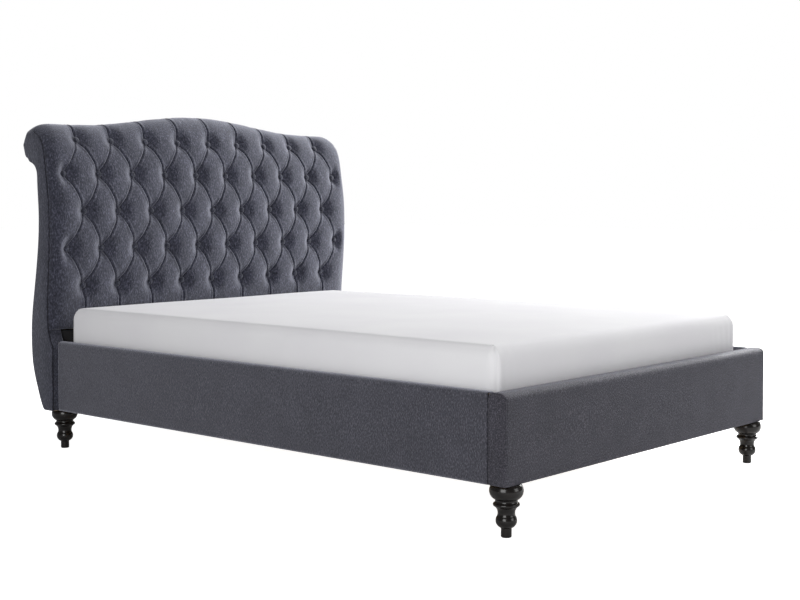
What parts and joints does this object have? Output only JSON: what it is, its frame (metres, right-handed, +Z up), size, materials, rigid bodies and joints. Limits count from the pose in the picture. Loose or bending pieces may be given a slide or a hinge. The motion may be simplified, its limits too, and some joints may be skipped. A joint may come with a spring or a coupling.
{
  "type": "sleigh bed",
  "caption": "Upholstered sleigh bed with a deep-buttoned scroll headboard, padded rails and low footboard, turned black legs and a loose mattress on slats.",
  "frame": {"origin": "on the floor, under the middle of the whole bed", "axes": "+X across the bed, +Y towards the headboard, +Z up"},
  "size_m": [1.51, 2.183, 1.212],
  "materials": {
    "upholstery": "matte",
    "mattress_cover": "matte",
    "black_lacquer": "gloss",
    "softwood": "matte",
    "slat_birch": "satin",
    "plywood": "matte",
    "dust_cloth": "matte",
    "black_plastic": "matte",
    "black_steel": "satin",
    "zinc_steel": "satin"
  },
  "bodies": {
    "frame": {"beam_hangers": "black_steel", "bracket_bolts": "zinc_steel", "centre_beam": "softwood", "centre_leg_front": "black_plastic", "centre_leg_rear": "black_plastic", "corner_bracket_foot_left": "black_steel", "corner_bracket_foot_right": "black_steel", "corner_bracket_head_left": "black_steel", "corner_bracket_head_right": "black_steel", "footboard_board": "softwood", "footboard_cover": "upholstery", "footboard_end_panel_left": "upholstery", "footboard_end_panel_right": "upholstery", "headboard_back_board": "plywood", "headboard_back_cover": "upholstery", "headboard_bottom_rail": "softwood", "headboard_front_board": "plywood", "headboard_gable_left": "plywood", "headboard_gable_right": "plywood", "headboard_lower_panel": "dust_cloth", "headboard_mid_rail": "softwood", "headboard_pad": "upholstery", "headboard_post_cover_left": "upholstery", "headboard_post_cover_right": "upholstery", "headboard_side_cover_left": "upholstery", "headboard_side_cover_right": "upholstery", "headboard_stile_left": "plywood", "headboard_stile_right": "plywood", "ledger_screws": "zinc_steel", "leg_foot_left": "black_lacquer", "leg_foot_right": "black_lacquer", "leg_glides": "black_plastic", "leg_head_left": "black_lacquer", "leg_head_right": "black_lacquer", "leg_studs": "zinc_steel", "scroll_former": "plywood", "side_rail_board_left": "softwood", "side_rail_board_right": "softwood", "side_rail_cover_left": "upholstery", "side_rail_cover_right": "upholstery", "slat_01": "slat_birch", "slat_02": "slat_birch", "slat_03": "slat_birch", "slat_04": "slat_birch", "slat_05": "slat_birch", "slat_06": "slat_birch", "slat_07": "slat_birch", "slat_08": "slat_birch", "slat_09": "slat_birch", "slat_10": "slat_birch", "slat_11": "slat_birch", "slat_12": "slat_birch", "slat_ledger_left": "softwood", "slat_ledger_right": "softwood", "slat_screws": "zinc_steel", "tuft_buttons": "upholstery"},
    "mattress": {"mattress": "mattress_cover"},
    "levelling_front": {"levelling_foot_front": "black_plastic"},
    "levelling_rear": {"levelling_foot_rear": "black_plastic"}
  },
  "joints": [
    {"name": "mattress_lift", "type": "slide", "parent": "frame", "child": "mattress", "axis": [0, 0, 1], "range_m": [0, 0.3]},
    {"name": "levelling_front_screw", "type": "slide", "parent": "frame", "child": "levelling_front", "axis": [0, 0, 1], "range_m": [0, 0.012]},
    {"name": "levelling_rear_screw", "type": "slide", "parent": "frame", "child": "levelling_rear", "axis": [0, 0, 1], "range_m": [0, 0.012]}
  ]
}
